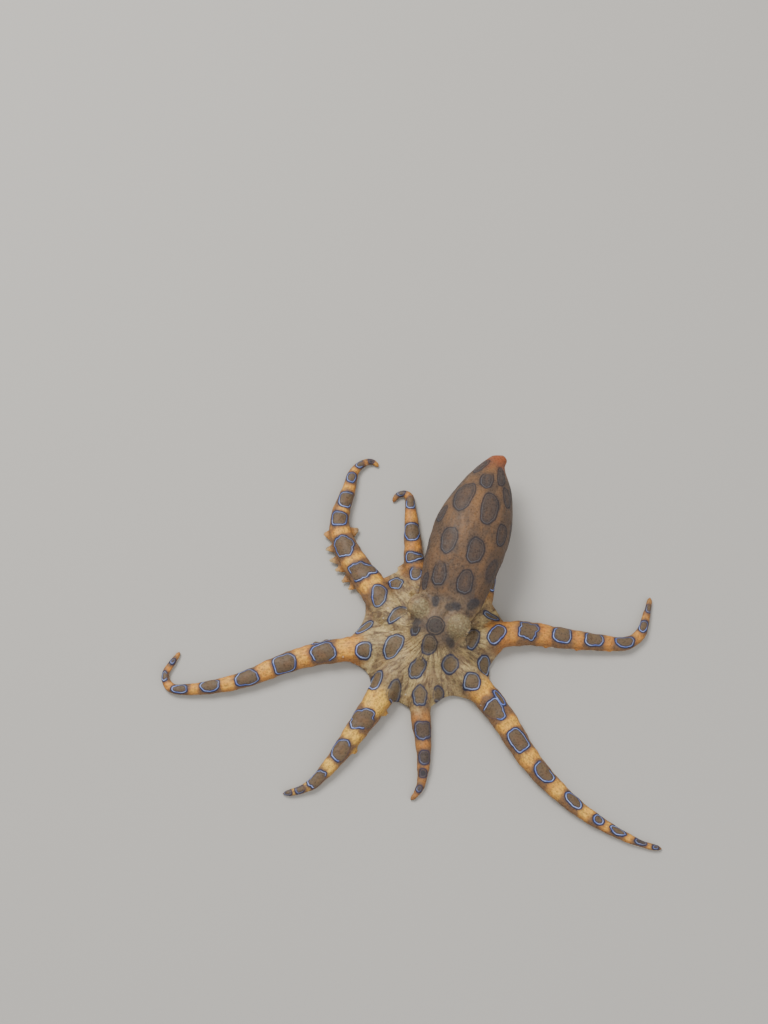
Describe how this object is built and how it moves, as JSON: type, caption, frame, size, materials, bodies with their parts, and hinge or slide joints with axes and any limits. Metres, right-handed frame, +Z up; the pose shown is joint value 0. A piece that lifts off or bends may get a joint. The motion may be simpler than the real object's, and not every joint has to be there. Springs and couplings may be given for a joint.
{
  "type": "blue-ringed octopus",
  "caption": "Life-size still model of a small octopus crawling on the sea floor, its arms spread from a low webbed crown and its bag-like mantle laid out behind, marked with blue rings.",
  "frame": {"origin": "on the floor under the centre of the arm crown, on the flat sole of the web", "axes": "+Z up, +Y from the crown towards the tip of the mantle, so the animal looks along -Y and its right side is -X"},
  "size_m": [0.1387, 0.1062, 0.0215],
  "materials": {
    "mantle_skin": "wet brown skin with dull blue-grey rings",
    "head_skin": "wet ochre-brown skin, finely wrinkled",
    "web_skin": "wet ochre skin with brown streaks and blue rings",
    "arm_skin": "wet skin in orange bands between brown, blue-ringed patches",
    "eye": "glossy dark eye with a level slit pupil"
  },
  "bodies": {
    "root": {"mantle": "mantle_skin", "head": "head_skin", "eye_right": "eye", "eye_left": "eye", "siphon": "head_skin", "web": "web_skin", "arm_right_1_base": "arm_skin", "arm_right_1_middle": "arm_skin", "arm_right_1_tip": "arm_skin", "arm_right_2_base": "arm_skin", "arm_right_2_middle": "arm_skin", "arm_right_2_tip": "arm_skin", "arm_right_3_base": "arm_skin", "arm_right_3_middle": "arm_skin", "arm_right_3_tip": "arm_skin", "arm_right_4_base": "arm_skin", "arm_right_4_middle": "arm_skin", "arm_right_4_tip": "arm_skin", "arm_left_1_base": "arm_skin", "arm_left_1_middle": "arm_skin", "arm_left_1_tip": "arm_skin", "arm_left_2_base": "arm_skin", "arm_left_2_middle": "arm_skin", "arm_left_2_tip": "arm_skin", "arm_left_3_base": "arm_skin", "arm_left_3_middle": "arm_skin", "arm_left_3_tip": "arm_skin", "arm_left_4_base": "arm_skin", "arm_left_4_middle": "arm_skin", "arm_left_4_tip": "arm_skin"}
  },
  "joints": []
}
